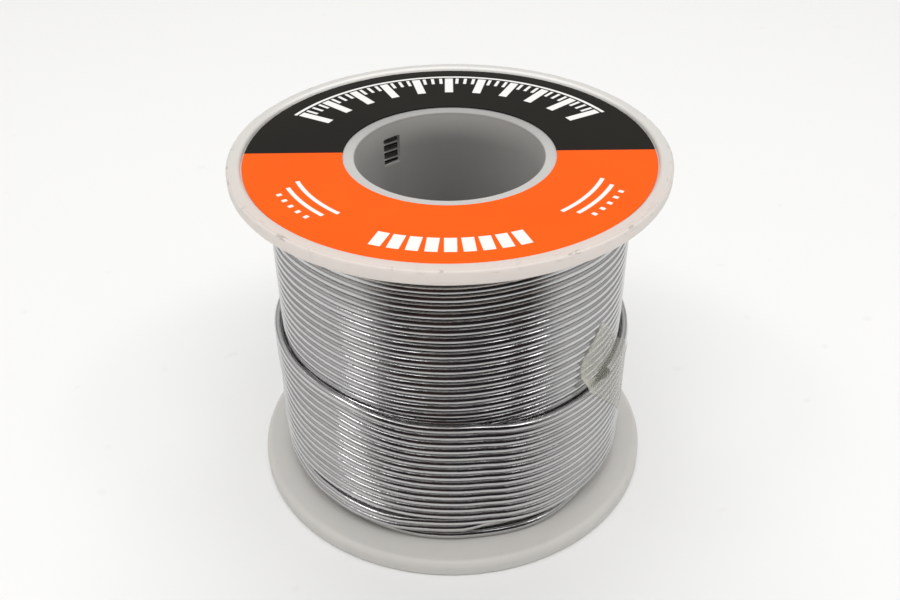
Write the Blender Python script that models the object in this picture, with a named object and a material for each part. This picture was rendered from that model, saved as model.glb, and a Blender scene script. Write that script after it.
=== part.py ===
"""Solder wire spool: a plastic spool with a wound wire, a ring label and a tape tab.

The spool stands on its bottom flange, with the axis of its bore on +Z and the origin at the middle of its
foot. Lengths are written in millimetres and turned to metres by MM. A bearing is an angle round the axis,
0 at the front (-Y) and growing towards +X.
"""

import math

import bmesh
import bpy
import numpy as np
from mathutils import Matrix, Vector

MM = 0.001

# Spool
SPOOL_HEIGHT = 41.65 * MM
FLANGE_RADIUS = 24.25 * MM
FLANGE_THICKNESS = 1.95 * MM
FLANGE_EDGE_RADIUS = 0.5 * MM
RECESS_DEPTH = 0.5 * MM
BORE_RADIUS = 10.5 * MM
BORE_EDGE_RADIUS = 0.45 * MM
SPIGOT_WALL = 1.4 * MM
SHOULDER_WIDTH = 0.5 * MM

# Window in the hub's wall
WINDOW_WIDTH = 2.25 * MM
WINDOW_HEIGHT = 3.3 * MM
WINDOW_DROP = 0.6 * MM
WINDOW_BEARING = math.radians(-139.3)

# Label
LABEL_RADIUS = 22.6 * MM
LABEL_THICKNESS = 0.1 * MM
LABEL_MARGIN = 0.15 * MM
LABEL_LAP = 0.15 * MM

# Wire
WIRE_DIAMETER = 1.0 * MM
TURN_GAP = 0.45 * MM
UNDER_LAYER_RADIUS = 20.33 * MM
WIRE_END_HEIGHT = 20.3 * MM
WIRE_END_BEARING = math.radians(57)
UNDER_END_BEARING = math.radians(200)
POINTS_PER_LOOP = 24

# Tape tab
TAPE_WIDTH = 7.5 * MM
TAPE_LENGTH = 20 * MM
TAPE_THICKNESS = 0.15 * MM
TAPE_RISE = 4.0 * MM
TAPE_BEARING = math.radians(46)
TAPE_SLANT = math.radians(45)
TAPE_FALL = 1.6 * MM

# Clearances
SEAT_CLEARANCE = 0.1 * MM
FACE_GAP = 0.05 * MM
WINDING_GAP = 0.3 * MM

# Mesh fineness
RING_STEPS = 72
EDGE_STEPS = 3
TAPE_STEPS_LONG = 16
TAPE_STEPS_WIDE = 6

# Sizes that follow from the ones above
SPIGOT_RADIUS = BORE_RADIUS + SPIGOT_WALL
BARREL_RADIUS = SPIGOT_RADIUS + SHOULDER_WIDTH
FLANGE_HOLE_RADIUS = SPIGOT_RADIUS + SEAT_CLEARANCE
RECESS_RADIUS = LABEL_RADIUS + LABEL_MARGIN
LABEL_HOLE_RADIUS = SPIGOT_RADIUS - LABEL_LAP
WIRE_RADIUS = WIRE_DIAMETER / 2
LAYER_STEP = WIRE_DIAMETER * math.sqrt(3) / 2
LAST_LAYER_RADIUS = UNDER_LAYER_RADIUS + LAYER_STEP
WINDING_BOTTOM = FLANGE_THICKNESS + WINDING_GAP
WINDING_TOP = SPOOL_HEIGHT - FLANGE_THICKNESS - WINDING_GAP
LAYER_SHOULDER = WIRE_END_HEIGHT + WINDING_GAP


def around(radius, bearing, height):
    """Point at a radius, a bearing and a height."""
    return Vector((radius * math.sin(bearing), -radius * math.cos(bearing), height))


def clear_scene():
    """Remove every object of the open scene."""
    for item in list(bpy.data.objects):
        bpy.data.objects.remove(item, do_unlink=True)


def finish_material(name, colour, roughness, metallic=0.0, alpha=1.0):
    """Principled material of one plain finish."""
    material = bpy.data.materials.new(name)
    material.use_nodes = True
    shader = material.node_tree.nodes["Principled BSDF"]
    shader.inputs["Base Color"].default_value = (*colour, 1.0)
    shader.inputs["Roughness"].default_value = roughness
    shader.inputs["Metallic"].default_value = metallic
    shader.inputs["Alpha"].default_value = alpha
    return material


def new_object(name, data, *materials):
    """Link an object of the given data and materials to the scene."""
    item = bpy.data.objects.new(name, data)
    for material in materials:
        data.materials.append(material)
    bpy.context.scene.collection.objects.link(item)
    return item


def mesh_from(shape, name):
    """Turn a bmesh into a smooth mesh whose edges over 35 degrees stay sharp."""
    bmesh.ops.recalc_face_normals(shape, faces=shape.faces)
    mesh = bpy.data.meshes.new(name)
    shape.to_mesh(mesh)
    shape.free()
    mesh.shade_smooth()
    mesh.set_sharp_from_angle(angle=math.radians(35))
    return mesh


def corner_arc(centre_radius, centre_height, size, first, last):
    """Profile points of a rounded corner, from one angle in degrees to another."""
    points = []
    for step in range(EDGE_STEPS):
        angle = math.radians(first + (last - first) * step / (EDGE_STEPS - 1))
        points.append((centre_radius + size * math.cos(angle), centre_height + size * math.sin(angle)))
    return points


def turned_mesh(name, profile):
    """Spin a closed profile of (radius, height) points round the spool's axis."""
    shape = bmesh.new()
    corners = [shape.verts.new((radius, 0, height)) for radius, height in profile]
    edges = [shape.edges.new((a, b)) for a, b in zip(corners, corners[1:] + corners[:1])]
    bmesh.ops.spin(
        shape,
        geom=corners + edges,
        cent=(0, 0, 0),
        axis=(0, 0, 1),
        angle=math.tau,
        steps=RING_STEPS,
        use_merge=True,
    )
    return mesh_from(shape, name)


def flange_profile(outward):
    """Profile of a flange whose recessed face looks up (1) or down (-1)."""
    outer_face = SPOOL_HEIGHT if outward > 0 else 0.0
    inner_face = outer_face - outward * FLANGE_THICKNESS
    recess_floor = outer_face - outward * RECESS_DEPTH
    edge = FLANGE_EDGE_RADIUS
    points = [
        (FLANGE_HOLE_RADIUS, inner_face),
        (FLANGE_HOLE_RADIUS, recess_floor),
        (RECESS_RADIUS, recess_floor),
        (RECESS_RADIUS, outer_face),
    ]
    points += corner_arc(FLANGE_RADIUS - edge, outer_face - outward * edge, edge, outward * 90, 0)
    points += corner_arc(FLANGE_RADIUS - edge, inner_face + outward * edge, edge, 0, outward * -90)
    return points


def add_flanges(plastic):
    """The two discs, seated on the hub's shoulders with their recessed faces outwards."""
    for name, outward in (("top_flange", 1), ("bottom_flange", -1)):
        new_object(name, turned_mesh(name, flange_profile(outward)), plastic)


def add_hub(plastic):
    """The barrel: a spigot at each end, a bore right through it and a window in its wall."""
    low_end = RECESS_DEPTH
    high_end = SPOOL_HEIGHT - RECESS_DEPTH
    low_shoulder = FLANGE_THICKNESS + FACE_GAP
    high_shoulder = SPOOL_HEIGHT - low_shoulder
    edge = BORE_EDGE_RADIUS
    profile = [
        (SPIGOT_RADIUS, low_end),
        (SPIGOT_RADIUS, low_shoulder),
        (BARREL_RADIUS, low_shoulder),
        (BARREL_RADIUS, high_shoulder),
        (SPIGOT_RADIUS, high_shoulder),
        (SPIGOT_RADIUS, high_end),
    ]
    profile += corner_arc(BORE_RADIUS + edge, high_end - edge, edge, 90, 180)
    profile += corner_arc(BORE_RADIUS + edge, low_end + edge, edge, 180, 270)
    hub = new_object("hub_tube", turned_mesh("hub_tube", profile), plastic)
    cut = hub.modifiers.new("window", "BOOLEAN")
    cut.object = window_cutter()
    cut.solver = "EXACT"


def window_cutter():
    """Block that cuts the window, from inside the bore to outside the barrel."""
    reach = BARREL_RADIUS - BORE_RADIUS + 2 * SHOULDER_WIDTH
    middle = SPOOL_HEIGHT - FLANGE_THICKNESS - WINDOW_DROP - WINDOW_HEIGHT / 2
    place = around((BARREL_RADIUS + BORE_RADIUS) / 2, WINDOW_BEARING, middle)
    size = Matrix.Diagonal((WINDOW_WIDTH, reach, WINDOW_HEIGHT, 1))
    shape = bmesh.new()
    bmesh.ops.create_cube(shape, size=1, matrix=size)
    cutter = new_object("window_cutter", mesh_from(shape, "window_cutter"))
    cutter.matrix_world = Matrix.Translation(place) @ Matrix.Rotation(WINDOW_BEARING, 4, "Z")
    cutter.hide_render = True
    cutter.display_type = "WIRE"
    return cutter


def add_label(back_colour, front_colour):
    """Ring sticker on the recess floor, back half in one colour and front half in the other."""
    low = SPOOL_HEIGHT - RECESS_DEPTH + FACE_GAP
    high = low + LABEL_THICKNESS
    profile = [(LABEL_HOLE_RADIUS, low), (LABEL_HOLE_RADIUS, high), (LABEL_RADIUS, high), (LABEL_RADIUS, low)]
    label = new_object("top_label", turned_mesh("top_label", profile), back_colour, front_colour)
    for face in label.data.polygons:
        face.material_index = 1 if face.center.y < 0 else 0


def add_core(solder):
    """The lower layers as one ring, stepped where the last layer ends."""
    inner = BARREL_RADIUS + WINDING_GAP
    under_last = LAST_LAYER_RADIUS - WIRE_DIAMETER - WINDING_GAP
    under_exposed = UNDER_LAYER_RADIUS - WIRE_DIAMETER - WINDING_GAP
    profile = [
        (inner, WINDING_BOTTOM),
        (under_last, WINDING_BOTTOM),
        (under_last, LAYER_SHOULDER),
        (under_exposed, LAYER_SHOULDER),
        (under_exposed, WINDING_TOP),
        (inner, WINDING_TOP),
    ]
    new_object("wound_core", turned_mesh("wound_core", profile), solder)


def helix(radius, first_height, last_height, last_bearing):
    """Points of turns that run clockwise from above, with a straight run of one diameter at each end."""
    loops = int(abs(last_height - first_height) / (WIRE_DIAMETER + TURN_GAP))
    count = loops * POINTS_PER_LOOP
    points = []
    for step in range(count + 1):
        share = step / count
        bearing = last_bearing + math.tau * loops * (1 - share)
        points.append(around(radius, bearing, first_height + (last_height - first_height) * share))
    lead_in = (points[0] - points[1]).normalized() * WIRE_DIAMETER
    lead_out = (points[-1] - points[-2]).normalized() * WIRE_DIAMETER
    return [points[0] + lead_in, *points, points[-1] + lead_out]


def least_gap(points):
    """Least gap of a tube to itself, measured between points at least half a loop apart."""
    places = np.array(points)
    apart = POINTS_PER_LOOP // 2
    nearest = min(
        np.linalg.norm(places[index + apart:] - places[index], axis=1).min()
        for index in range(len(places) - apart)
    )
    return nearest - WIRE_DIAMETER


def add_turns(name, points, solder):
    """One unbroken wire along the points."""
    curve = bpy.data.curves.new(name, "CURVE")
    curve.dimensions = "3D"
    curve.bevel_depth = WIRE_RADIUS
    curve.bevel_resolution = 1
    curve.use_fill_caps = True
    spline = curve.splines.new("POLY")
    spline.points.add(len(points) - 1)
    for knot, place in zip(spline.points, points):
        knot.co = (*place, 1)
    spline.use_smooth = True
    new_object(name, curve, solder)
    print(f"{name}: least gap to itself {least_gap(points) / MM:.2f} mm")


def add_winding(solder):
    """The ring of lower layers, the last full layer above it and the half-full last layer."""
    add_core(solder)
    under_low = LAYER_SHOULDER + WINDING_GAP + WIRE_RADIUS
    under_high = WINDING_TOP - WIRE_RADIUS
    under_layer = helix(UNDER_LAYER_RADIUS - WIRE_RADIUS, under_high, under_low, UNDER_END_BEARING)
    add_turns("under_layer_turns", under_layer, solder)
    last_low = WINDING_BOTTOM + WIRE_RADIUS
    last_layer = helix(LAST_LAYER_RADIUS - WIRE_RADIUS, last_low, WIRE_END_HEIGHT, WIRE_END_BEARING)
    add_turns("last_layer_turns", last_layer, solder)


def tape_radius(height):
    """Radius of the tape's sticky face, which falls from the last layer to the one under it."""
    start = WIRE_END_HEIGHT + WIRE_RADIUS
    share = min(max((height - start) / TAPE_FALL, 0), 1)
    ease = share * share * (3 - 2 * share)
    return WINDING_GAP + LAST_LAYER_RADIUS - LAYER_STEP * ease


def tape_place(along, across):
    """Point on the tape's sticky face, along it from its free end and across it from its middle."""
    reach = LAST_LAYER_RADIUS + WINDING_GAP
    sideways = along * math.cos(TAPE_SLANT) + across * math.sin(TAPE_SLANT)
    upwards = across * math.cos(TAPE_SLANT) - along * math.sin(TAPE_SLANT)
    height = WIRE_END_HEIGHT + TAPE_RISE + upwards
    return around(tape_radius(height), TAPE_BEARING + sideways / reach, height)


def add_tape(clear_film):
    """Slanted strip over the wire's cut end, with its origin on the line where it stays stuck."""
    hinge = tape_place(TAPE_LENGTH, 0)
    shape = bmesh.new()
    rows = []
    for long_step in range(TAPE_STEPS_LONG + 1):
        along = TAPE_LENGTH * long_step / TAPE_STEPS_LONG
        row = []
        for wide_step in range(TAPE_STEPS_WIDE + 1):
            across = TAPE_WIDTH * (wide_step / TAPE_STEPS_WIDE - 0.5)
            row.append(shape.verts.new(tape_place(along, across) - hinge))
        rows.append(row)
    for row, after in zip(rows, rows[1:]):
        for index in range(TAPE_STEPS_WIDE):
            shape.faces.new((row[index], after[index], after[index + 1], row[index + 1]))
    mesh = bpy.data.meshes.new("tape_tab")
    shape.to_mesh(mesh)
    shape.free()
    mesh.shade_smooth()
    tape = new_object("tape_tab", mesh, clear_film)
    tape.location = hinge
    film = tape.modifiers.new("film", "SOLIDIFY")
    film.thickness = TAPE_THICKNESS
    film.offset = 1
    low_corner = tape_place(TAPE_LENGTH, -TAPE_WIDTH / 2)
    high_corner = tape_place(TAPE_LENGTH, TAPE_WIDTH / 2)
    across_line = (high_corner - low_corner).normalized()
    print("tape hinge point, mm:", [round(value / MM, 3) for value in hinge])
    print("tape hinge axis:", [round(value, 4) for value in across_line])


def main():
    """Build every piece of the spool."""
    clear_scene()
    plastic = finish_material("white_plastic", (0.80, 0.80, 0.78), 0.45)
    black = finish_material("label_black", (0.025, 0.025, 0.023), 0.40)
    orange = finish_material("label_orange", (0.90, 0.13, 0.012), 0.40)
    solder = finish_material("solder", (0.62, 0.62, 0.63), 0.28, metallic=1.0)
    clear_film = finish_material("clear_tape", (0.82, 0.82, 0.76), 0.20, alpha=0.45)
    add_hub(plastic)
    add_flanges(plastic)
    add_label(black, orange)
    add_winding(solder)
    add_tape(clear_film)


main()
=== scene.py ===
"""Looks of a solder wire spool, laid out as an add-on and run as a script.

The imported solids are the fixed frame: they give the spool's radii and heights, and every piece made here
rides on one of their bodies. Lengths are in metres. A bearing is an angle round the spool's axis, 0 at the
front (-Y) and growing towards +X.
"""

import math

import bmesh
import bpy
from mathutils import Matrix, Vector, noise


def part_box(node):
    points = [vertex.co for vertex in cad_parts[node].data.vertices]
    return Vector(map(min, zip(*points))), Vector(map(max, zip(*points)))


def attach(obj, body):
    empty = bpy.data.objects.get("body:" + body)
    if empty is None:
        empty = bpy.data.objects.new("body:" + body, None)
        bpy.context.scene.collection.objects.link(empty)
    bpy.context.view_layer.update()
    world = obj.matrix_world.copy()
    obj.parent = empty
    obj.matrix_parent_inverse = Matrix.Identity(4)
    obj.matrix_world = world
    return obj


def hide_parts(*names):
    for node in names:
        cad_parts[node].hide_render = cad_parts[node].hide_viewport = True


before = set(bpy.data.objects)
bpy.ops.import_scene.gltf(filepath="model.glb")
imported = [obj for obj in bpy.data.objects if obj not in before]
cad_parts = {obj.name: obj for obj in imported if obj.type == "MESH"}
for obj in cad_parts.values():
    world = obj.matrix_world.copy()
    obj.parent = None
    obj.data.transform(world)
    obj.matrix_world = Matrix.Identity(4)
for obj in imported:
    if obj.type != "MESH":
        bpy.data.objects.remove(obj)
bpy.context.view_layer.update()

bl_info = {
    "name": "Solder Wire Spool",
    "version": (1, 0, 0),
    "blender": (4, 5, 0),
    "location": "View3D > Sidebar > Spool",
    "description": "Dresses the solids of a solder wire spool and lights it for a photograph",
    "category": "Object",
}

MM = 0.001
FACE_GAP = 0.05 * MM
SEAT_CLEARANCE = 0.1 * MM
TURN_PITCH = 1.0 * MM
TOP_TURN = 38.51 * MM


# Measures taken from the frame
def reach(node, pick):
    """Least or greatest distance of a solid's corners from the spool's axis."""
    return pick(math.hypot(corner.co.x, corner.co.y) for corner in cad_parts[node].data.vertices)


SPOOL_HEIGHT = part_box("top_flange")[1].z
FLANGE_THICKNESS = SPOOL_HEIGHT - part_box("top_flange")[0].z
FLANGE_RADIUS = reach("top_flange", max)
FLANGE_HOLE_RADIUS = reach("top_flange", min)
RECESS_DEPTH = SPOOL_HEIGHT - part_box("hub_tube")[1].z
BORE_RADIUS = reach("hub_tube", min)
BARREL_RADIUS = reach("hub_tube", max)
SHOULDER_LOW = FLANGE_THICKNESS + FACE_GAP
SHOULDER_HIGH = SPOOL_HEIGHT - SHOULDER_LOW
LABEL_RADIUS = reach("top_label", max)
LABEL_HOLE_RADIUS = reach("top_label", min)
LABEL_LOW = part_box("top_label")[0].z
LABEL_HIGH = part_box("top_label")[1].z


# Sizes and colours that the panel shows
def length(name, default, description):
    """Property that holds a length."""
    return bpy.props.FloatProperty(
        name=name, description=description, default=default, min=0.0, precision=5, unit="LENGTH"
    )


def angle(name, degrees, description):
    """Property that holds an angle."""
    return bpy.props.FloatProperty(
        name=name, description=description, default=math.radians(degrees), subtype="ANGLE"
    )


def colour(name, default, description):
    """Property that holds a linear colour."""
    return bpy.props.FloatVectorProperty(
        name=name, description=description, default=default, size=3, min=0.0, max=1.0, subtype="COLOR"
    )


class SpoolSizes(bpy.types.PropertyGroup):
    """Sizes of the plastic spool and its label."""

    flange_edge: length("Flange edge", 0.35 * MM, "Radius of a flange's edge on its outer face")
    inner_edge: length("Inner edge", 0.8 * MM, "Radius of a flange's edge on its inner face")
    bore_edge: length("Bore edge", 0.2 * MM, "Radius of the rounded edge of the bore")
    recess_margin: length("Recess margin", 0.15 * MM, "Gap between the label's edge and the recess wall")
    recess_edge: length("Recess edge", 0.42 * MM, "Radius of the rim's edge beside the label")
    nick_depth: length("Nick depth", 0.06 * MM, "Depth of the deepest nick in a flange's edge")
    window_width: length("Window width", 2.4 * MM, "Width of the window in the hub's wall")
    window_height: length("Window height", 3.5 * MM, "Height of the window in the hub's wall")
    window_drop: length("Window drop", 0.5 * MM, "Distance of the window below the top flange")
    window_web: length("Window web", 0.45 * MM, "Thickness of the hub's wall round the window")
    window_bearing: angle("Window bearing", -139.3, "Bearing of the window's middle")


class WireSizes(bpy.types.PropertyGroup):
    """Sizes of the wound wire."""

    diameter: length("Wire diameter", 0.97 * MM, "Diameter of the solder wire")
    pitch: length("Turn pitch", TURN_PITCH, "Height from one turn to the next")
    last_pitch: length("Last pitch", 0.993 * MM, "Height from one turn of the half-full layer to the next")
    left_pitch: length("Left pitch", 1.072 * MM, "The same height at the left, where the turns lie looser")
    under_radius: length("Under layer radius", 20.33 * MM, "Outer radius of the last full layer")
    layer_step: length("Layer step", 0.866 * MM, "Radius gained by a layer that lies in the grooves below")
    top_turn: length("Top turn", TOP_TURN, "Height of the highest turn of a full layer")
    last_top_turn: length("Last top turn", 20.5 * MM, "Height of the half-full layer's top turn, at the left")
    left_fall: length("Left fall", 1.22 * MM, "Fall of the half-full layer from the left to the front")
    front_fall: length("Front fall", 0.9 * MM, "Fall of the half-full layer from the front to the right")
    stand_off: length("Stand-off", 0.15 * MM, "How far the top turn stands off the winding beside the front")
    end_bearing: angle("End bearing", 57, "Bearing of the wire's cut end")
    left_gap: length("Left gap", 0.52 * MM, "Height of the gap over the two lowest turns at the left")


class TapeSizes(bpy.types.PropertyGroup):
    """Sizes of the strip of film that holds the wire's end."""

    width: length("Tape width", 7.5 * MM, "Width of the strip")
    run: length("Tape length", 20 * MM, "Length of the strip")
    thickness: length("Film thickness", 0.05 * MM, "Thickness of the film")
    rise: length("Tape rise", 3.8 * MM, "Height of the free end's middle above the last top turn")
    bearing: angle("Tape bearing", 46, "Bearing of the free end's middle")
    slant: angle("Tape slant", 45, "Fall of the strip, away from its free end")


class SpoolColours(bpy.types.PropertyGroup):
    """Colours of the spool."""

    plastic: colour("Plastic", (0.63, 0.615, 0.585), "Milky white moulding")
    # Hub grey is partly the thin wall's own grey and partly painted shade of the bore.
    hub_grey_and_shade: colour("Hub grey", (0.455, 0.447, 0.435), "Thin wall and ends of the hub")
    far_lip: colour("Far lip", (0.33, 0.325, 0.315), "Far end of the hub, which the light leaves in shade")
    far_edge: colour("Far edge", (0.90, 0.89, 0.86), "Far edge of the label's recess, which the light meets")
    # Bore shade and the colour after it are painted shade and painted light inside the bore.
    bore_shade: colour("Bore shade", (0.30, 0.295, 0.285), "Painted shade deep in the bore")
    painted_bore_light: colour("Bore light", (0.46, 0.45, 0.435), "Painted light on the bore's wall at its sides")
    # The next two colours are painted light on the top flange's front rim: an orange tint from the label and
    # a lighter edge.
    painted_label_light: colour("Glow", (0.66, 0.56, 0.51), "Painted orange light from the label on the front rim's face")
    lit_edge: colour("Lit edge", (0.88, 0.80, 0.75), "Outer edge of the top flange at the front")
    dirt: colour("Dirt", (0.30, 0.25, 0.22), "Dirt held by nicks and scuffs")
    label_back: colour("Label back", (0.010, 0.009, 0.0075), "Back half of the label")
    label_front: colour("Label front", (0.96, 0.118, 0.007), "Front half of the label")
    label_mark: colour("Label mark", (0.86, 0.85, 0.83), "Printed marks")
    solder: colour("Solder", (0.60, 0.60, 0.60), "Clean solder")
    solder_dull: colour("Dull solder", (0.48, 0.475, 0.47), "Solder dulled by handling")
    # Window light is painted light, emitted by the turns behind the hub's window.
    painted_window_light: colour("Window light", (0.75, 0.74, 0.70), "Painted light stripes on the turns behind the hub's window")
    film: colour("Film", (0.72, 0.71, 0.58), "Yellowed clear film")
    floor: colour("Floor", (0.875, 0.875, 0.87), "Pale floor")


# Shader nodes as Python expressions
class Socket:
    """Output socket of a shader node that takes part in Python expressions."""

    def __init__(self, graph, socket):
        self.graph = graph
        self.socket = socket

    def maths(self, operation, first, second=0.0):
        return self.graph.add("ShaderNodeMath", {"operation": operation}, {0: first, 1: second})

    def __add__(self, other):
        return self.maths("ADD", self, other)

    __radd__ = __add__

    def __mul__(self, other):
        return self.maths("MULTIPLY", self, other)

    __rmul__ = __mul__

    def __sub__(self, other):
        return self.maths("SUBTRACT", self, other)

    def __rsub__(self, other):
        return self.maths("SUBTRACT", other, self)

    def __truediv__(self, other):
        return self.maths("DIVIDE", self, other)

    def __rtruediv__(self, other):
        return self.maths("DIVIDE", other, self)

    def __pow__(self, other):
        return self.maths("POWER", self, other)

    def __neg__(self):
        return self.maths("MULTIPLY", self, -1.0)

    def __abs__(self):
        return self.maths("ABSOLUTE", self)

    def least(self, other):
        """The smaller of two values."""
        return self.maths("MINIMUM", self, other)

    def most(self, other):
        """The greater of two values."""
        return self.maths("MAXIMUM", self, other)

    def also(self, output):
        """Another output of the same node."""
        return Socket(self.graph, self.socket.node.outputs[output])

    def rise(self, low, high):
        """Smooth step from 0 at low to 1 at high."""
        values = {"Value": self, "From Min": low, "From Max": high}
        return self.graph.add("ShaderNodeMapRange", {"interpolation_type": "SMOOTHSTEP"}, values)

    def between(self, low, high, soft):
        """1 between low and high, with soft edges."""
        return self.rise(low - soft, low + soft) * (1 - self.rise(high - soft, high + soft))


class Graph:
    """Node tree of one material or of the world."""

    def __init__(self, owner):
        owner.use_nodes = True
        self.tree = owner.node_tree
        self.tree.nodes.clear()

    def add(self, kind, settings=None, values=None, output=0):
        """Make a node of a type, with its settings and then the values or links of its sockets."""
        node = self.tree.nodes.new(kind)
        for name, value in (settings or {}).items():
            setattr(node, name, value)
        for key, value in (values or {}).items():
            self.feed(node.inputs[key], value)
        return Socket(self, node.outputs[output]) if node.outputs else node

    def feed(self, socket, value):
        """Link or set one input socket."""
        if isinstance(value, Socket):
            self.tree.links.new(value.socket, socket)
        elif socket.type == "RGBA":
            socket.default_value = (*value[:3], 1.0)
        else:
            socket.default_value = value

    def place(self):
        """Object coordinates, in metres."""
        return self.add("ShaderNodeTexCoord", output="Object")

    def split(self, vector):
        """The three values of a vector."""
        x = self.add("ShaderNodeSeparateXYZ", values={0: vector})
        return x, x.also("Y"), x.also("Z")

    def join(self, x, y, z):
        """A vector from three values."""
        return self.add("ShaderNodeCombineXYZ", values={0: x, 1: y, 2: z})

    def off_axis(self, x, y):
        """Distance from the spool's axis."""
        return (x * x + y * y) ** 0.5

    def attribute(self, name, output="Fac"):
        """Attribute of the mesh."""
        return self.add("ShaderNodeAttribute", {"attribute_name": name}, output=output)

    def noise(self, vector, scale, detail=2.0, roughness=0.5):
        """Noise whose cells are about 1 / scale metres wide."""
        values = {"Vector": vector, "Scale": scale, "Detail": detail, "Roughness": roughness}
        return self.add("ShaderNodeTexNoise", None, values)

    def mix(self, first, second, factor):
        """Mix of two colours."""
        return self.add("ShaderNodeMix", {"data_type": "RGBA"}, {0: factor, 6: first, 7: second}, output=2)

    def bump(self, height, strength, distance):
        """Normal bent by a height that is given from 0 to 1."""
        values = {"Height": height, "Strength": strength, "Distance": distance}
        return self.add("ShaderNodeBump", None, values)

    def surface(self, values):
        """Principled surface as the material's output."""
        shader = self.add("ShaderNodeBsdfPrincipled", None, values)
        self.add("ShaderNodeOutputMaterial", None, {"Surface": shader})


# Materials
def dimmed(tone, share):
    """A colour times a share."""
    return tuple(share * part for part in tone)


def new_material(name):
    """Empty material and its graph."""
    material = bpy.data.materials.new(name)
    return material, Graph(material)


def plastic_material(name, colours, bore=False):
    """Milky moulded plastic, with mottling, scuffs and dirt in its nicks; painted light on the top flange's
    front rim and far recess edge; greyer in the hub, with painted shade deep in the bore and painted light at
    its sides.
    """
    material, graph = new_material(name)
    place = graph.place()
    x, y, z = graph.split(place)
    mottle = graph.noise(place, 160.0, 3.0)
    grain = graph.noise(place, 2400.0, 2.0)
    scuffs = graph.noise(graph.join(x * 900.0, y * 170.0, z * 900.0), 1.0, 3.0).rise(0.62, 0.74)
    pale = graph.mix(dimmed(colours.plastic, 0.94), colours.plastic, mottle)
    radius = graph.off_axis(x, y)
    if bore:
        depth = (SPOOL_HEIGHT - RECESS_DEPTH - z).least(z - RECESS_DEPTH)
        inside = (1 - radius.rise(BORE_RADIUS + 0.1 * MM, BORE_RADIUS + 0.8 * MM)) * depth.rise(0.0, 4.2 * MM)
        # Greyer hub: partly the thin wall's own grey, partly painted shade of the bore.
        pale = graph.mix(pale, colours.hub_grey_and_shade, 0.6)
        far_lip = y.rise(-0.3 * BORE_RADIUS, 0.9 * BORE_RADIUS) * (1 - depth.rise(0.0, 0.45 * MM))
        pale = graph.mix(pale, colours.far_lip, far_lip * 0.85)
        # Painted shade grows deeper down the bore, with painted light on its wall at the left and right
        # sides.
        beside = (x / BORE_RADIUS) ** 2
        wall = graph.mix(dimmed(colours.bore_shade, 0.72), colours.painted_bore_light, beside)
        pale = graph.mix(pale, wall, inside * 0.85)
    else:
        # Painted light: a lighter edge and an orange tint from the label, on the top flange's front rim only.
        forward = 1 - y.rise(-0.8 * FLANGE_RADIUS, 0.2 * FLANGE_RADIUS)
        painted_front_rim_light = forward * z.rise(0.9 * SPOOL_HEIGHT, 0.95 * SPOOL_HEIGHT)
        face = z.rise(SPOOL_HEIGHT - 0.12 * MM, SPOOL_HEIGHT - 0.04 * MM)
        tint = graph.mix(colours.lit_edge, colours.painted_label_light, face)
        pale = graph.mix(pale, tint, painted_front_rim_light * 0.75)
        far_edge = y.rise(0.2 * FLANGE_RADIUS, 0.8 * FLANGE_RADIUS)
        far_edge = far_edge * (FLANGE_RADIUS - radius).rise(1.0 * MM, 1.4 * MM)
        far_edge = far_edge * z.rise(SPOOL_HEIGHT - 0.9 * MM, SPOOL_HEIGHT - 0.6 * MM)
        pale = graph.mix(pale, colours.far_edge, far_edge)
    off_corner = abs(FLANGE_RADIUS - radius) + abs(z - SPOOL_HEIGHT)
    turn = x.maths("ARCTAN2", x, -y)
    streaks = graph.noise(graph.join(turn * 13.0, off_corner * 5200.0, 2.0), 1.0, 3.0, 0.6)
    worn = streaks.rise(0.58, 0.66) * (1 - off_corner.rise(0.30 * MM, 0.70 * MM))
    shade = graph.mix(pale, colours.dirt, worn * 0.5 + scuffs * 0.06)
    height = grain * 0.5 + mottle * 0.3 + scuffs * 0.2
    graph.surface({
        "Base Color": shade,
        "Roughness": 0.36 + mottle * 0.12 + scuffs * 0.15,
        "Subsurface Weight": 0.25,
        "Subsurface Radius": (1.0, 0.85, 0.7),
        "Subsurface Scale": 0.9 * MM,
        "IOR": 1.47,
        "Normal": graph.bump(height, 0.25, 0.03 * MM),
    })
    return material


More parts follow.
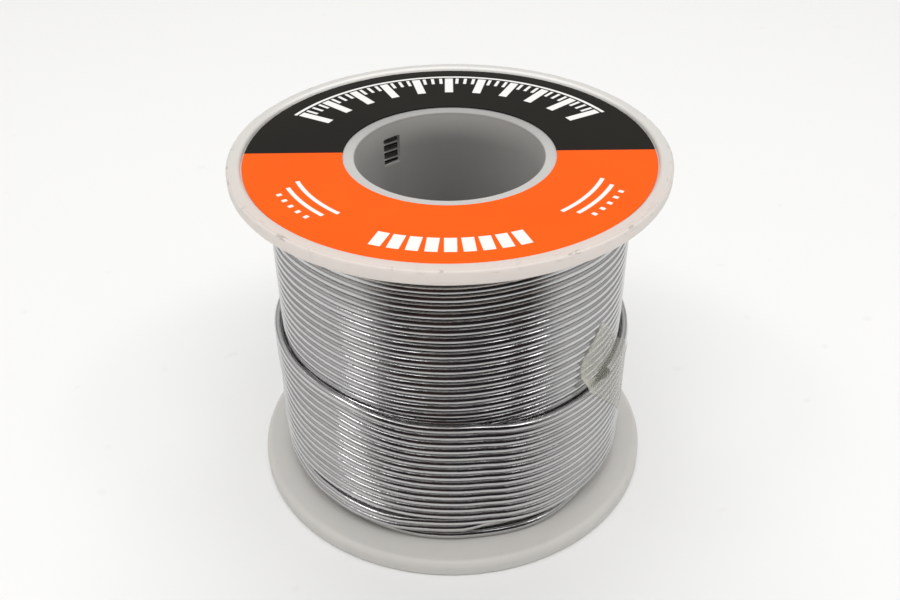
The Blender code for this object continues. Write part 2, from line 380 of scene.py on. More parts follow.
def label_material(colours):
    """Printed ring: dark back half with a scale of ticks, bright front half with blocks and thin arcs."""
    material, graph = new_material("printed_label")
    place = graph.place()
    x, y, z = graph.split(place)
    soft = 0.04 * MM
    radius = graph.off_axis(x, y)
    front = 1 - y.rise(-soft, soft)
    back_angle = x.maths("ARCTAN2", x, y)
    front_angle = x.maths("ARCTAN2", x, -y)

    def ticks(angle, step, half_width, limit, low, high):
        """Radial bars at even angles, within a limit on both sides."""
        turn = math.radians(step)
        cell = angle.maths("WRAP", angle, turn / 2)
        cell.socket.node.inputs[2].default_value = -turn / 2
        bars = 1 - abs(cell * radius).rise(half_width - soft, half_width + soft)
        inside = 1 - abs(angle).rise(math.radians(limit) - 0.002, math.radians(limit) + 0.002)
        return bars * inside * radius.between(low, high, soft)

    def arc(angle, first, last, low, high):
        """Part of a ring between two angles, the same on both sides."""
        spread = abs(angle).between(math.radians(first), math.radians(last), 0.002)
        return spread * radius.between(low, high, soft)

    long_ticks = ticks(back_angle, 12.0, 0.50 * MM, 67.0, 15.9 * MM, 20.1 * MM)
    short_ticks = ticks(back_angle, 3.0, 0.19 * MM, 61.5, 18.5 * MM, 20.1 * MM)
    rail = arc(back_angle, 0.0, 61.7, 20.35 * MM, 20.75 * MM)
    blocks = ticks(front_angle, 5.2, 0.62 * MM, 23.5, 18.0 * MM, 20.5 * MM)
    thin_arcs = arc(front_angle, 40.0, 68.0, 17.0 * MM, 17.45 * MM)
    thin_arcs = thin_arcs.most(arc(front_angle, 43.0, 65.0, 18.3 * MM, 18.75 * MM))
    dots = ticks(front_angle.maths("ABSOLUTE", front_angle) - math.radians(54.0), 4.0, 0.24 * MM, 11.0,
                 19.55 * MM, 20.1 * MM)
    back_marks = long_ticks.most(short_ticks).most(rail) * (1 - front)
    front_marks = blocks.most(thin_arcs).most(dots) * front

    speckle = graph.noise(place, 1500.0, 3.0)
    cloud = graph.noise(place, 120.0, 2.0)
    rubbed = graph.noise(graph.join(x * 240.0, y * 1500.0, z), 1.0, 2.0).rise(0.66, 0.76)
    dark = graph.mix(colours.label_back, (0.020, 0.018, 0.014), cloud * 0.7 + rubbed * 0.25)
    bright = graph.mix(colours.label_front, (0.91, 0.100, 0.006), cloud)
    ground = graph.mix(dark, bright, front)
    marks = (back_marks + front_marks) * (0.92 + 0.08 * speckle)
    printed = graph.mix(ground, colours.label_mark, marks)
    graph.surface({
        "Base Color": printed,
        "Roughness": 0.34 + 0.14 * cloud + 0.12 * rubbed,
        "Specular IOR Level": 0.04,
        "Normal": graph.bump(speckle, 0.12, 0.02 * MM),
    })
    return material


def solder_material(colours):
    """Drawn solder: grey metal with streaks, dents and dull patches; painted light stripes are emitted from
    its first layer behind the hub's window.
    """
    material, graph = new_material("drawn_solder")
    along = graph.attribute("along")
    section = graph.attribute("section", "Vector")
    x, y, z = graph.split(section)
    streaks = graph.noise(graph.join(along * 260.0, x * 3.2, y * 3.2), 1.0, 3.0, 0.6)
    dents = graph.noise(graph.join(along * 1500.0, x * 0.9, y * 0.9), 1.0, 2.0)
    grit = graph.noise(graph.join(along * 5200.0, x * 2.6, y * 2.6), 1.0, 2.0)
    cloud = graph.noise(graph.join(along * 60.0, x * 0.5, y * 0.5), 1.0, 2.0)
    dull = cloud.rise(0.35, 0.75) * 0.6 + streaks.rise(0.45, 0.75) * 0.4
    height = streaks * 0.40 + dents * 0.25 + grit * 0.35
    place_x, place_y, place_z = graph.split(graph.place())
    radius = graph.off_axis(place_x, place_y)
    first_layer = 1 - radius.rise(BARREL_RADIUS + 0.9 * MM, BARREL_RADIUS + MM)
    # Painted light: emitted stripes on the first layer's turns behind the hub's window, where no lamp
    # reaches.
    turn = place_z.maths("FRACT", (place_z - TOP_TURN) / TURN_PITCH)
    lit = turn.between(0.68, 0.96, 0.07) * (1.0 - 0.85 * place_x.rise(-8.8 * MM, -7.5 * MM))
    graph.surface({
        "Base Color": graph.mix(colours.solder, colours.solder_dull, dull),
        "Metallic": 1.0,
        "Roughness": 0.06 + 0.08 * dull + 0.04 * grit,
        "Normal": graph.bump(height, 0.4, 0.05 * MM),
        "Emission Color": graph.mix((0.0, 0.0, 0.0), colours.painted_window_light, first_layer * lit),
        "Emission Strength": 1.0,
    })
    return material


def film_material(colours):
    """Thin clear film, yellowed and crinkled, cloudier where it has lifted."""
    material, graph = new_material("yellowed_film")
    place = graph.place()
    lifted = graph.attribute("lifted")
    crinkle = graph.noise(place, 900.0, 2.0)
    cloud = graph.noise(place, 420.0, 2.0)
    graph.surface({
        "Base Color": graph.mix(colours.film, (0.78, 0.77, 0.69), crinkle),
        "Roughness": 0.22 + 0.2 * cloud,
        "Alpha": 0.09 + 0.10 * cloud + 0.30 * lifted,
        "Normal": graph.bump(crinkle, 0.25, 0.06 * MM),
    })
    return material


def floor_material(colours):
    """Pale matt sheet with faint marks."""
    material, graph = new_material("pale_floor")
    place = graph.place()
    cloud = graph.noise(place, 14.0, 3.0)
    specks = graph.noise(place, 260.0, 1.0).rise(0.74, 0.80)
    tone = graph.mix(colours.floor, dimmed(colours.floor, 0.97), cloud)
    graph.surface({
        "Base Color": graph.mix(tone, (0.75, 0.74, 0.72), specks * 0.25),
        "Roughness": 0.55 + 0.1 * cloud,
        "Normal": graph.bump(graph.noise(place, 900.0, 2.0), 0.1, 0.05 * MM),
    })
    return material


def material_of(name, make, *values):
    """A material by name, made when it is first asked for."""
    return bpy.data.materials.get(name) or make(*values)


# Shapes that several pieces share
def around(radius, bearing, height):
    """Point at a radius, a bearing and a height."""
    return Vector((radius * math.sin(bearing), -radius * math.cos(bearing), height))


def settle(share):
    """Ease from 0 to 1, held at both ends."""
    share = min(max(share, 0.0), 1.0)
    return share * share * (3 - 2 * share)


def bell(value, middle, half_width):
    """Smooth hump of height 1."""
    return settle(1 - abs(value - middle) / half_width)


def add_object(name, data):
    """New object in the scene."""
    item = bpy.data.objects.new(name, data)
    bpy.context.scene.collection.objects.link(item)
    return item


def add_piece(name, mesh, material, body, slot, *nodes):
    """Link a finished mesh as a piece that rides a body and stands for solids of the frame."""
    mesh.materials.clear()
    mesh.materials.append(material)
    piece = add_object(name, mesh)
    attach(piece, body)
    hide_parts(*nodes)
    return piece


def plain_mesh(shape, name):
    """Turn a bmesh into a mesh."""
    mesh = bpy.data.meshes.new(name)
    shape.to_mesh(mesh)
    shape.free()
    return mesh


def finish_mesh(shape, name, sharp=40):
    """Turn a bmesh into a smooth mesh whose edges over an angle stay sharp."""
    mesh = plain_mesh(shape, name)
    mesh.shade_smooth()
    mesh.set_sharp_from_angle(angle=math.radians(sharp))
    return mesh


def corner_arc(centre_radius, centre_height, size, first, last, steps=7):
    """Profile points of a rounded corner, from one angle in degrees to another."""
    points = []
    for step in range(steps):
        turn = math.radians(first + (last - first) * step / (steps - 1))
        points.append((centre_radius + size * math.cos(turn), centre_height + size * math.sin(turn)))
    return points


def turned(profile, steps):
    """Closed ring whose cross-section is a profile of (radius, height) points."""
    shape = bmesh.new()
    rings = []
    for step in range(steps):
        bearing = math.tau * step / steps
        rings.append([shape.verts.new(around(radius, bearing, height)) for radius, height in profile])
    for ring, after in zip(rings, rings[1:] + rings[:1]):
        for index in range(len(profile)):
            following = (index + 1) % len(profile)
            shape.faces.new((ring[index], after[index], after[following], ring[following]))
    bmesh.ops.recalc_face_normals(shape, faces=shape.faces)
    return shape


# Plastic spool and its label
RING_STEPS = 360


def flange_profile(sizes, outward):
    """Profile of a flange whose recessed face looks up (1) or down (-1)."""
    outer_face = SPOOL_HEIGHT if outward > 0 else 0.0
    inner_face = outer_face - outward * FLANGE_THICKNESS
    recess_floor = outer_face - outward * RECESS_DEPTH
    recess_radius = LABEL_RADIUS + sizes.recess_margin
    edge = sizes.flange_edge
    inner = sizes.inner_edge
    lip = sizes.recess_edge
    points = [(FLANGE_HOLE_RADIUS, inner_face), (FLANGE_HOLE_RADIUS, recess_floor)]
    points += [(recess_radius, recess_floor)]
    points += corner_arc(recess_radius + lip, outer_face - outward * lip, lip, 180, 180 - outward * 90)
    points += corner_arc(FLANGE_RADIUS - edge, outer_face - outward * edge, edge, outward * 90, 0)
    points += corner_arc(FLANGE_RADIUS - inner, inner_face + outward * inner, inner, 0, outward * -90, 9)
    return points


def nick_edges(shape, sizes, outer_face, seed):
    """Press short nicks into a flange's outer edge."""
    edge = sizes.flange_edge
    for corner in shape.verts:
        radius = math.hypot(corner.co.x, corner.co.y)
        off_corner = FLANGE_RADIUS - radius + abs(corner.co.z - outer_face)
        bearing = math.atan2(corner.co.x, -corner.co.y)
        rough = noise.noise(Vector((bearing * 22.0, seed, 0.0)))
        coarse = noise.noise(Vector((bearing * 5.0, seed + 7.0, 0.0)))
        nick = settle((rough + 0.4 * coarse - 0.14) / 0.25) * settle((edge - off_corner) / (0.35 * edge))
        inward = Vector((-corner.co.x, -corner.co.y, 0.0)) / max(radius, MM)
        corner.co += inward * nick * sizes.nick_depth


class SPOOL_OT_flanges(bpy.types.Operator):
    """Make the two flanges, turned from their profile and nicked along their edges"""

    bl_idname = "spool.flanges"
    bl_label = "Flanges"

    def execute(self, context):
        sizes = context.scene.spool_sizes
        plastic = material_of("milky_plastic", plastic_material, "milky_plastic", context.scene.spool_colours)
        for name, node, outward, seed in (
            ("spool_top_flange", "top_flange", 1, 3.0),
            ("spool_bottom_flange", "bottom_flange", -1, 11.0),
        ):
            shape = turned(flange_profile(sizes, outward), 2 * RING_STEPS)
            nick_edges(shape, sizes, SPOOL_HEIGHT if outward > 0 else 0.0, seed)
            add_piece(name, finish_mesh(shape, name), plastic, "spool", "white_plastic", node)
        return {"FINISHED"}


CUTTER_EDGE = 0.12 * MM
POCKET_DROP = 2.0 * MM
POCKET_RISE = 0.2 * MM
POCKET_SPREAD = 5.0 * MM


def wall_cutter(name, bearing, inner, low, high, width):
    """Block that cuts the hub's wall at a bearing, from a radius outwards."""
    outer = BARREL_RADIUS + MM
    place = Matrix.Translation(around((inner + outer) / 2, bearing, (low + high) / 2))
    size = Matrix.Diagonal((width, outer - inner, high - low, 1))
    shape = bmesh.new()
    bmesh.ops.create_cube(shape, size=1, matrix=place @ Matrix.Rotation(bearing, 4, "Z") @ size)
    bmesh.ops.bevel(shape, geom=shape.edges[:], offset=CUTTER_EDGE, segments=2, profile=0.5, affect="EDGES")
    return add_object(name, plain_mesh(shape, name))


def window_cutters(sizes):
    """Blocks that cut the window and, from outside, the pocket that leaves a thin web round it."""
    high = SPOOL_HEIGHT - FLANGE_THICKNESS - sizes.window_drop
    low = high - sizes.window_height
    bearing = sizes.window_bearing
    width = sizes.window_width
    web = BORE_RADIUS + sizes.window_web
    pocket = (low - POCKET_DROP, high + POCKET_RISE, width + POCKET_SPREAD)
    return (
        wall_cutter("window_cutter", bearing, BORE_RADIUS - MM, low, high, width),
        wall_cutter("pocket_cutter", bearing, web, *pocket),
    )


def evaluated_mesh(item):
    """Plain mesh of an object with its modifiers applied; the object is removed."""
    graph = bpy.context.evaluated_depsgraph_get()
    mesh = bpy.data.meshes.new_from_object(item.evaluated_get(graph), depsgraph=graph)
    bpy.data.objects.remove(item)
    return mesh


class SPOOL_OT_hub(bpy.types.Operator):
    """Make the hub: a tube with a spigot at each end, rounded bore edges and a window cut in its wall"""

    bl_idname = "spool.hub"
    bl_label = "Hub"

    def execute(self, context):
        sizes = context.scene.spool_sizes
        low_end = RECESS_DEPTH
        high_end = SPOOL_HEIGHT - RECESS_DEPTH
        spigot = FLANGE_HOLE_RADIUS - SEAT_CLEARANCE
        edge = sizes.bore_edge
        profile = [(spigot, low_end), (spigot, SHOULDER_LOW), (BARREL_RADIUS, SHOULDER_LOW)]
        profile += [(BARREL_RADIUS, SHOULDER_HIGH), (spigot, SHOULDER_HIGH), (spigot, high_end)]
        profile += corner_arc(BORE_RADIUS + edge, high_end - edge, edge, 90, 180)
        profile += corner_arc(BORE_RADIUS + edge, low_end + edge, edge, 180, 270)
        blank = add_object("hub_blank", finish_mesh(turned(profile, RING_STEPS), "spool_hub"))
        cutters = window_cutters(sizes)
        for cutter in cutters:
            cut = blank.modifiers.new(cutter.name, "BOOLEAN")
            cut.object = cutter
            cut.solver = "EXACT"
        context.view_layer.update()
        mesh = evaluated_mesh(blank)
        for cutter in cutters:
            bpy.data.objects.remove(cutter)
        mesh.name = "spool_hub"
        mesh.shade_smooth()
        mesh.set_sharp_from_angle(angle=math.radians(40))
        colours = context.scene.spool_colours
        plastic = material_of("hub_plastic", plastic_material, "hub_plastic", colours, True)
        add_piece("spool_hub", mesh, plastic, "spool", "white_plastic", "hub_tube")
        return {"FINISHED"}


class SPOOL_OT_label(bpy.types.Operator):
    """Make the printed ring label on the top flange"""

    bl_idname = "spool.label"
    bl_label = "Label"

    def execute(self, context):
        edge = 0.03 * MM
        profile = [
            (LABEL_HOLE_RADIUS, LABEL_LOW),
            (LABEL_HOLE_RADIUS, LABEL_HIGH - edge),
            (LABEL_HOLE_RADIUS + edge, LABEL_HIGH),
            (LABEL_RADIUS - edge, LABEL_HIGH),
            (LABEL_RADIUS, LABEL_HIGH - edge),
            (LABEL_RADIUS, LABEL_LOW),
        ]
        mesh = finish_mesh(turned(profile, RING_STEPS), "ring_label", 30)
        print_material = material_of("printed_label", label_material, context.scene.spool_colours)
        add_piece("ring_label", mesh, print_material, "spool", "label_print", "top_label")
        return {"FINISHED"}


# Wound wire
def wire_sweep_tree():
    """Geometry Nodes tree that sweeps a round wire along a path of edges."""
    tree = bpy.data.node_groups.get("wire_sweep")
    if tree:
        return tree
    tree = bpy.data.node_groups.new("wire_sweep", "GeometryNodeTree")
    for name, direction, kind in (
        ("Path", "INPUT", "NodeSocketGeometry"),
        ("Wire Diameter", "INPUT", "NodeSocketFloat"),
        ("Sides", "INPUT", "NodeSocketInt"),
        ("Material", "INPUT", "NodeSocketMaterial"),
        ("Wire", "OUTPUT", "NodeSocketGeometry"),
    ):
        tree.interface.new_socket(name, in_out=direction, socket_type=kind)

    def node(kind, settings=None, links=None, output=0):
        """Make a node, with its settings and then the values or links of its sockets; give one output."""
        made = tree.nodes.new(kind)
        for name, value in (settings or {}).items():
            setattr(made, name, value)
        for key, value in (links or {}).items():
            if isinstance(value, bpy.types.NodeSocket):
                tree.links.new(value, made.inputs[key])
            else:
                made.inputs[key].default_value = value
        return made.outputs[output] if made.outputs else None

    def note(geometry, name, value, kind):
        """Keep a value of each point as a named attribute."""
        settings = {"data_type": kind, "domain": "POINT"}
        links = {"Geometry": geometry, "Name": name, "Value": value}
        return node("GeometryNodeStoreNamedAttribute", settings, links)

    given = tree.nodes.new("NodeGroupInput").outputs
    radius = node("ShaderNodeMath", {"operation": "MULTIPLY"}, {0: given["Wire Diameter"], 1: 0.5})
    ring = node("GeometryNodeCurvePrimitiveCircle", None, {"Resolution": given["Sides"], "Radius": radius})
    spot = node("GeometryNodeInputPosition")
    share = node("ShaderNodeVectorMath", {"operation": "DIVIDE"}, {0: spot, 1: radius})
    profile = note(ring, "section", share, "FLOAT_VECTOR")
    line = node("GeometryNodeMeshToCurve", None, {"Mesh": given["Path"]})
    upright = node("GeometryNodeSetCurveNormal", {"mode": "Z_UP"}, {"Curve": line})
    distance = node("GeometryNodeSplineParameter", output="Length")
    path = note(upright, "along", distance, "FLOAT")
    links = {"Curve": path, "Profile Curve": profile, "Fill Caps": True}
    swept = node("GeometryNodeCurveToMesh", None, links)
    smooth = node("GeometryNodeSetShadeSmooth", None, {"Geometry": swept, "Shade Smooth": True})
    real = node("GeometryNodeRealizeInstances", None, {"Geometry": smooth})
    dressed = node("GeometryNodeSetMaterial", None, {"Geometry": real, "Material": given["Material"]})
    node("NodeGroupOutput", None, {"Wire": dressed})
    return tree


def sweep(name, points, diameter, sides, material):
    """Mesh of a round wire along a list of points."""
    path = bpy.data.meshes.new(name + "_path")
    path.from_pydata([tuple(point) for point in points], [(i, i + 1) for i in range(len(points) - 1)], [])
    guide = add_object(name + "_path", path)
    tree = wire_sweep_tree()
    modifier = guide.modifiers.new("wire", "NODES")
    modifier.node_group = tree
    identifier = {item.name: item.identifier for item in tree.interface.items_tree if item.in_out == "INPUT"}
    modifier[identifier["Wire Diameter"]] = diameter
    modifier[identifier["Sides"]] = sides
    modifier[identifier["Material"]] = material
    bpy.context.view_layer.update()
    mesh = evaluated_mesh(guide)
    mesh.name = name
    return mesh


# Shares of a turn, counts of turns and bearings in degrees
CROSSOVER = 0.06
INNER_LAYERS = 8
DOWN_TURNS = 36.9
UP_TURNS = 35.9
UP_START_TURN = 35.5
LAST_START_BEARING = 14
LAST_START_TURN = 15
LEFT_BEARING = -101


def signed_degrees(bearing):
    """Bearing in degrees from -180 to 180."""
    return (math.degrees(bearing) + 180) % 360 - 180


def level(turns):
    """Whole turns made so far, with each step eased over the crossover at the back."""
    nearest = round(turns)
    return nearest - 1 + settle((turns - nearest) / (2 * CROSSOVER) + 0.5)


def bearing_at(turns):
    """Bearing after a number of turns counted from the back; the wire runs clockwise from above."""
    return math.pi - math.tau * turns


def crossover_lift(turns):
    """1 in the middle of the crossover at the back, where a turn climbs over the groove below."""
    return bell(turns, round(turns), 1.4 * CROSSOVER)


def stray(turns, seed, pace):
    """Small wander of a hand-led winding, from -1 to 1."""
    return noise.noise(Vector((turns * pace, seed, 0.3 * turns)))


def sway(bearing, height):
    """Rise of a full layer's turns to the left and right of the front, less near the bottom flange."""
    degrees = signed_degrees(bearing)
    rise = 0.38 * bell(degrees, -46, 32) + 0.27 * bell(degrees, 28, 32)
    return rise * MM * settle((height - FLANGE_THICKNESS) / (6 * MM))


def squeezed(bearing, height):
    """How far the turn on the bottom flange is pushed outwards."""
    degrees = signed_degrees(bearing)
    push = 0.42 * bell(degrees, -5, 45) + 0.62 * bell(degrees, 30, 26)
    return push * MM * settle((FLANGE_THICKNESS + 1.1 * MM - height) / (0.4 * MM))


def full_layer(radius, first, step, turns, points_per_turn, seed):
    """Places (radius, bearing, height) of a layer that fills the space between the flanges."""
    places = []
    count = int(turns * points_per_turn)
    for index in range(count + 1):
        spun = CROSSOVER + turns * index / count
        bearing = bearing_at(spun)
        flat = first + step * level(spun)
        height = flat + sway(bearing, flat) + 0.025 * MM * stray(spun, seed, 5.0)
        lift = 0.134 * MM * crossover_lift(spun) + 0.015 * MM * stray(spun, seed + 5.0, 9.0)
        places.append((radius + squeezed(bearing, flat) + lift, bearing, height))
    return places


def climb(place, after, steps):
    """Places between the end of one layer and the start of the next."""
    turn = (place[1] - after[1]) % math.tau
    between = []
    for step in range(1, steps):
        share = step / steps
        ease = settle(share)
        radius = place[0] + (after[0] - place[0]) * ease
        height = place[2] + (after[2] - place[2]) * ease
        between.append((radius, place[1] - turn * share, height))
    return between


def layer_radius(wire, layer):
    """Radius of the middle of the wire in a layer; layer 8 is the last full one."""
    return wire.under_radius - wire.pitch / 2 - (INNER_LAYERS - layer) * wire.layer_step


def whole_layer(wire, layer, points_per_turn):
    """Places of one full layer: even ones run down, odd ones run up."""
    radius = layer_radius(wire, layer)
    seed = 3.1 * layer
    if layer % 2:
        low = wire.top_turn - UP_START_TURN * wire.pitch
        return full_layer(radius, low, wire.pitch, UP_TURNS, points_per_turn, seed)
    return full_layer(radius, wire.top_turn, -wire.pitch, DOWN_TURNS, points_per_turn, seed)


def front_height(wire, turn, degrees):
    """Height of a turn of the last layer from the left over the front to the right; turn 0 is the top one."""
    fall = wire.left_fall * settle((degrees + 44) / 36) + wire.front_fall * settle((degrees + 2) / 36)
    pitch = wire.left_pitch + (wire.last_pitch - wire.left_pitch) * settle((degrees + 40) / 34)
    return wire.last_top_turn - fall - pitch * turn


def last_height(wire, turn, degrees):
    """Height of a turn of the last layer, which joins the next turn down round the back."""
    right = math.degrees(wire.end_bearing)
    if degrees <= right:
        return front_height(wire, turn, degrees)
    share = (degrees - right) / (LEFT_BEARING + 360 - right)
    start = front_height(wire, turn, right)
    return start + (front_height(wire, turn + 1, LEFT_BEARING) - start) * share * (2 - share)


def loosened(wire, turn, degrees):
    """How far the two lowest turns of the last layer have sunk at the left."""
    if turn < LAST_START_TURN - 1:
        return 0.0
    sunk = wire.left_gap * settle((degrees + 90) / 45) * (1 - settle((degrees + 24) / 34))
    if turn == LAST_START_TURN:
        sunk -= 0.3 * MM * settle((degrees - 2) / 10)
    return sunk


def rest_radius(wire, bearing, height):
    """Radius of a wire that rests on the last full layer, smaller over a groove than over a crest."""
    offset = (height - wire.top_turn - sway(bearing, height)) / wire.pitch
    share = 0.25 * (1 - math.cos(math.tau * offset))
    return layer_radius(wire, INNER_LAYERS) + wire.pitch * math.sqrt(1 - share * share)


def last_layer(wire, points_per_turn):
    """Places of the half-full layer, from its start near the bottom flange up to its cut end."""
    first = LAST_START_TURN * 360 + LAST_START_BEARING
    last = math.degrees(wire.end_bearing) - 360
    places = []
    count = int((first - last) / 360 * points_per_turn)
    for index in range(count + 1):
        total = first + (last - first) * index / count
        turn = math.floor((total - LEFT_BEARING) / 360)
        degrees = total - 360 * turn
        height = last_height(wire, turn, degrees) - loosened(wire, turn, degrees)
        height += 0.015 * MM * stray(total / 360, 50.0, 5.0)
        radius = rest_radius(wire, math.radians(total), height)
        radius += 0.1 * MM * bell(degrees, 180, 40) + 0.01 * MM * stray(total / 360, 55.0, 9.0)
        if turn == 0:
            radius += wire.stand_off * (bell(degrees, -40, 30) + bell(degrees, 30, 26))
        if turn == LAST_START_TURN:
            radius -= 0.5 * MM * settle((degrees - 2) / 12)
        places.append((radius, math.radians(total), height))
    return places


class SPOOL_OT_winding(bpy.types.Operator):
    """Wind the solder wire: eight hidden layers, the last full layer and the half-full layer on top of it"""

    bl_idname = "spool.winding"
    bl_label = "Winding"

    def execute(self, context):
        wire = context.scene.spool_wire
        solder = material_of("drawn_solder", solder_material, context.scene.spool_colours)
        coarse = 34
        fine = 128
        hidden = []
        for layer in range(INNER_LAYERS):
            places = whole_layer(wire, layer, coarse)
            if hidden:
                hidden += climb(hidden[-1], places[0], 8)
            hidden += places
        under = whole_layer(wire, INNER_LAYERS, fine)
        last = last_layer(wire, fine)
        hidden += climb(hidden[-1], under[0], 8) + [under[0]]
        under += climb(under[-1], last[0], 24) + [last[0]]
        for name, node, places, sides in (
            ("wire_inner_layers", "wound_core", hidden, 8),
            ("wire_under_layer", "under_layer_turns", under, 12),
            ("wire_last_layer", "last_layer_turns", last, 12),
        ):
            points = [around(*place) for place in places]
            mesh = sweep(name, points, wire.diameter, sides, solder)
            add_piece(name, mesh, solder, "spool", "solder", node)
        return {"FINISHED"}


# Tape
FILM_LONG = 150
FILM_WIDE = 56
FILM_REST_GAP = 0.04 * MM
FREE_END = 2.6 * MM


def film_ground(wire, height):
    """Outer radius of what lies under the film: the last layer, its loose top turn and the layer below."""
    loose_turn = wire.last_top_turn - wire.left_fall - wire.front_fall
    share = settle((height - loose_turn - 1.3 * wire.pitch) / (1.6 * wire.pitch))
    ground = wire.under_radius + (wire.layer_step + 0.1 * MM) * (1 - share)
    proud = wire.stand_off * bell(height, loose_turn + 0.4 * wire.pitch, 1.9 * wire.pitch)
    crest = (height - loose_turn) / wire.pitch + (0.5 if share > 0.5 else 0.0)
    dip = 0.5 - 0.5 * math.cos(math.tau * crest)
    return ground + proud - 0.06 * MM * dip * abs(2 * share - 1)


def film_cut(tape, across):
    """Place of the free end along the strip: toothed, and torn back at its lower corner."""
    tooth = abs((across / (0.62 * MM)) % 1.0 - 0.5) * 2
    wander = noise.noise(Vector((across / MM * 0.8, 4.0, 0.0)))
    torn = min(max(-(across + tape.width / 6) / (tape.width / 3), 0.0), 1.0) ** 1.5
    return (0.30 * tooth * (1 - torn) + 0.25 * abs(wander) + 3.2 * torn) * MM


def film_looseness(tape, along, across):
    """How far the film has come loose, from 0 to 1: at its free end and most of all at the lower corner."""
    free = settle(1 - along / FREE_END)
    corner = settle(1 - math.hypot(along - 2 * MM, across + tape.width / 2) / FREE_END)
    return max(0.55 * free, corner)


def film_point(wire, tape, along, across, loose):
    """Point of the film at a place along and across the strip."""
    cosine = math.cos(tape.slant)
    sine = math.sin(tape.slant)
    sideways = along * cosine + across * sine
    height = wire.last_top_turn + tape.rise + across * cosine - along * sine
    spot = Vector((along / MM, across / MM, 2.0))
    wave = noise.noise(spot * 0.9) * 0.35 + noise.noise(spot * 2.3) * 0.3
    gap = FILM_REST_GAP + loose * (0.10 + 0.16 * abs(wave)) * MM
    girth = wire.under_radius + wire.layer_step
    return around(film_ground(wire, height) + gap, tape.bearing + sideways / girth, height)


class SPOOL_OT_tape(bpy.types.Operator):
    """Make the strip of clear film that holds the wire's end, crinkled at its own free end"""

    bl_idname = "spool.tape"
    bl_label = "Tape"

    def execute(self, context):
        wire = context.scene.spool_wire
        tape = context.scene.spool_tape
        shape = bmesh.new()
        lifted = shape.verts.layers.float.new("lifted")
        rows = []
        for long_step in range(FILM_LONG + 1):
            row = []
            for wide_step in range(FILM_WIDE + 1):
                across = tape.width * (wide_step / FILM_WIDE - 0.5)
                cut = film_cut(tape, across)
                share = long_step / FILM_LONG
                along = cut + (tape.run - cut) * share
                loose = film_looseness(tape, along, across)
                vertex = shape.verts.new(film_point(wire, tape, along, across, loose))
                vertex[lifted] = loose
                row.append(vertex)
            rows.append(row)
        for row, after in zip(rows, rows[1:]):
            for index in range(FILM_WIDE):
                shape.faces.new((row[index], after[index], after[index + 1], row[index + 1]))
        blank = add_object("film_blank", finish_mesh(shape, "tape_film"))
        film = blank.modifiers.new("film", "SOLIDIFY")
        film.thickness = tape.thickness
        film.offset = 1
        context.view_layer.update()
        mesh = evaluated_mesh(blank)
        mesh.name = "tape_film"
        clear = material_of("yellowed_film", film_material, context.scene.spool_colours)
        add_piece("tape_film", mesh, clear, "tape", "clear_tape", "tape_tab")
        return {"FINISHED"}


# Stage
def softbox(name, place, target, width, height, radiance):
    """Area light that faces a target and looks as bright as its radiance."""
    light = bpy.data.lights.new(name, "AREA")
    light.shape = "RECTANGLE"
    light.size = width
    light.size_y = height
    light.energy = radiance * math.pi * width * height
    lamp = add_object(name, light)
    lamp.location = place
    lamp.rotation_euler = (Vector(target) - Vector(place)).to_track_quat("-Z", "Y").to_euler()


CAMERA_PLACE = (0.0, -100.868 * MM, 92.523 * MM)
CAMERA_TURNS = (0.6145, -0.0014, 0.0111)
CAMERA_LENS = 40.774
SENSOR_WIDTH = 36.0


def add_camera():
    """Camera of the photograph: close, looking down at the spool."""
    pitch, yaw, roll = CAMERA_TURNS
    forward = Vector((math.sin(yaw) * math.cos(pitch), math.cos(yaw) * math.cos(pitch), -math.sin(pitch)))
    level_right = Vector((math.cos(yaw), -math.sin(yaw), 0.0))
    level_up = level_right.cross(forward)
    right = math.cos(roll) * level_right - math.sin(roll) * level_up
    up = math.sin(roll) * level_right + math.cos(roll) * level_up
    data = bpy.data.cameras.new("camera")
    data.lens = CAMERA_LENS
    data.sensor_width = SENSOR_WIDTH
    data.clip_start = 5 * MM
    camera = add_object("camera", data)
    turn = Matrix((right, up, -forward)).transposed().to_4x4()
    camera.matrix_world = Matrix.Translation(CAMERA_PLACE) @ turn
    bpy.context.scene.camera = camera


def add_floor(colours):
    """Large pale sheet under the spool."""
    shape = bmesh.new()
    bmesh.ops.create_grid(shape, x_segments=2, y_segments=2, size=3.0)
    mesh = plain_mesh(shape, "floor")
    mesh.materials.append(floor_material(colours))
    add_object("floor", mesh)


def add_world(horizon, zenith):
    """Pale surroundings, brighter overhead."""
    world = bpy.data.worlds.new("surroundings")
    bpy.context.scene.world = world
    graph = Graph(world)
    height = graph.split(graph.add("ShaderNodeTexCoord", output="Generated"))[2]
    brightness = horizon + (zenith - horizon) * height.rise(0.1, 0.9)
    back = graph.add("ShaderNodeBackground", None, {"Color": (1.0, 0.995, 0.985), "Strength": brightness})
    graph.add("ShaderNodeOutputWorld", None, {"Surface": back})


def screen_material():
    """Dark screen whose edges fade out."""
    material, graph = new_material("dark_screen")
    place = graph.place()
    x, y, z = graph.split(place)
    bearing = x.maths("ARCTAN2", x, -y)
    radius = graph.off_axis(x, y)
    left_fade = bearing.rise(math.radians(-54), math.radians(-28))
    wide = left_fade * (1 - bearing.rise(math.radians(40), math.radians(68)))
    narrow = (1 - abs(x).rise(0.025, 0.07)) * radius.rise(0.045, 0.075) * 0.88
    up = z.rise(0.165, 0.208)
    # The low skirt over the floor in front of the spool is a dark sheet that stands for shade on that floor.
    near = 0.98 * radius.rise(0.031, 0.084)
    shown = near.most(up) * (wide * (1 - up) + narrow * up)
    tint = graph.mix((0.036, 0.016, 0.013), (0.008, 0.007, 0.010), graph.noise(place, 14.0).rise(0.4, 0.6))
    dark = graph.add("ShaderNodeBsdfDiffuse", None, {"Color": tint})
    clear = graph.add("ShaderNodeBsdfTransparent")
    faded = graph.add("ShaderNodeMixShader", None, {0: shown, 1: clear, 2: dark})
    graph.add("ShaderNodeOutputMaterial", None, {"Surface": faded})
    return material


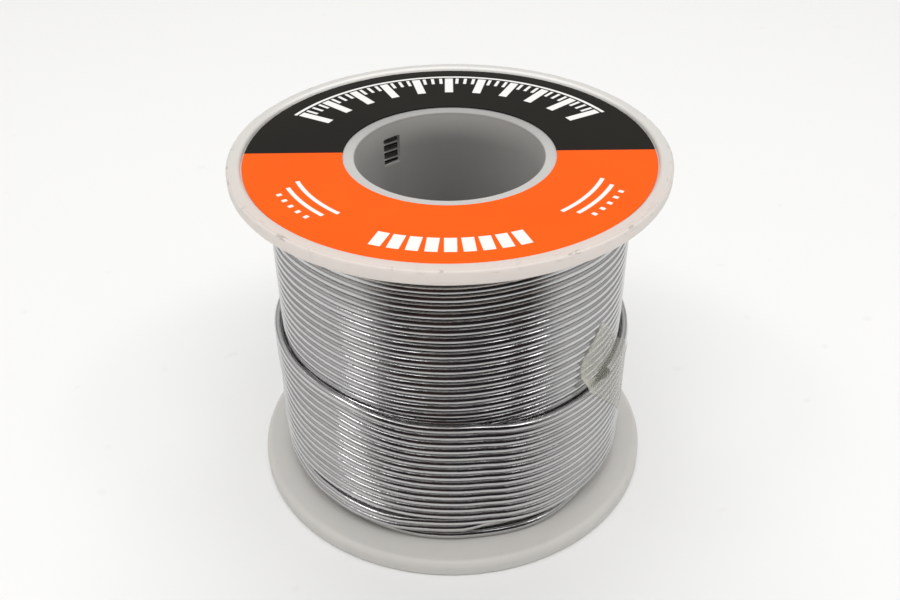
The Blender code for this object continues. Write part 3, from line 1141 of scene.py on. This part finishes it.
SCREEN_PROFILE = ((0.030, 0.0006), (0.108, 0.015), (0.108, 0.21), (0.04, 0.226))
SCREEN_BEARINGS = [math.radians(turn) for turn in range(-60, 85, 5)]


def add_front_screen():
    """Dark screen behind and over the camera, where the photographer stood, which only reflections see; its
    low skirt over the floor in front of the spool is a dark sheet that stands for shade on that floor.
    """
    shape = bmesh.new()
    rows = []
    for radius, height in SCREEN_PROFILE:
        rows.append([shape.verts.new(around(radius, bearing, height)) for bearing in SCREEN_BEARINGS])
    for row, after in zip(rows, rows[1:]):
        for index in range(len(row) - 1):
            shape.faces.new((row[index], row[index + 1], after[index + 1], after[index]))
    mesh = plain_mesh(shape, "front_screen")
    mesh.materials.append(screen_material())
    screen = add_object("front_screen", mesh)
    screen.visible_camera = False
    screen.visible_diffuse = False
    screen.visible_shadow = False


# Name, place, width, height and radiance of each light
SOFTBOXES = (
    ("left_softbox", (-0.46, -0.16, 0.75), 0.22, 0.11, 5.6),
    ("right_softbox", (0.46, -0.16, 0.75), 0.22, 0.11, 6.0),
    ("back_softbox", (0.0, 0.32, 0.62), 0.60, 0.24, 2.4),
    ("front_softbox", (0.0, -0.17, 0.42), 0.35, 0.12, 4.3),
)
HORIZON_LEVEL = 0.42
ZENITH_LEVEL = 0.75


class SPOOL_OT_stage(bpy.types.Operator):
    """Set up the floor, the soft lights, the surroundings and the camera"""

    bl_idname = "spool.stage"
    bl_label = "Stage"

    def execute(self, context):
        middle = (0.0, 0.0, SPOOL_HEIGHT / 2)
        add_floor(context.scene.spool_colours)
        for name, place, width, height, radiance in SOFTBOXES:
            softbox(name, place, middle, width, height, radiance)
        add_front_screen()
        add_world(HORIZON_LEVEL, ZENITH_LEVEL)
        add_camera()
        context.scene.view_settings.view_transform = "Standard"
        return {"FINISHED"}


# Add-on
OPERATORS = (
    SPOOL_OT_flanges,
    SPOOL_OT_hub,
    SPOOL_OT_label,
    SPOOL_OT_winding,
    SPOOL_OT_tape,
    SPOOL_OT_stage,
)
GROUPS = (
    ("spool_sizes", SpoolSizes),
    ("spool_wire", WireSizes),
    ("spool_tape", TapeSizes),
    ("spool_colours", SpoolColours),
)


class SPOOL_PT_panel(bpy.types.Panel):
    """Sizes, colours and steps of the spool"""

    bl_idname = "SPOOL_PT_panel"
    bl_label = "Solder Wire Spool"
    bl_space_type = "VIEW_3D"
    bl_region_type = "UI"
    bl_category = "Spool"

    def draw(self, context):
        for attribute, group in GROUPS:
            box = self.layout.box()
            for name in group.__annotations__:
                box.prop(getattr(context.scene, attribute), name)
        for operator in OPERATORS:
            self.layout.operator(operator.bl_idname)


def register():
    for attribute, group in GROUPS:
        bpy.utils.register_class(group)
        setattr(bpy.types.Scene, attribute, bpy.props.PointerProperty(type=group))
    for operator in OPERATORS:
        bpy.utils.register_class(operator)
    bpy.utils.register_class(SPOOL_PT_panel)


def unregister():
    bpy.utils.unregister_class(SPOOL_PT_panel)
    for operator in reversed(OPERATORS):
        bpy.utils.unregister_class(operator)
    for attribute, group in reversed(GROUPS):
        delattr(bpy.types.Scene, attribute)
        bpy.utils.unregister_class(group)


def main():
    """Dress the spool piece by piece."""
    register()
    bpy.ops.spool.stage()
    bpy.ops.spool.flanges()
    bpy.ops.spool.hub()
    bpy.ops.spool.label()
    bpy.ops.spool.winding()
    bpy.ops.spool.tape()


if __name__ == "__main__":
    main()
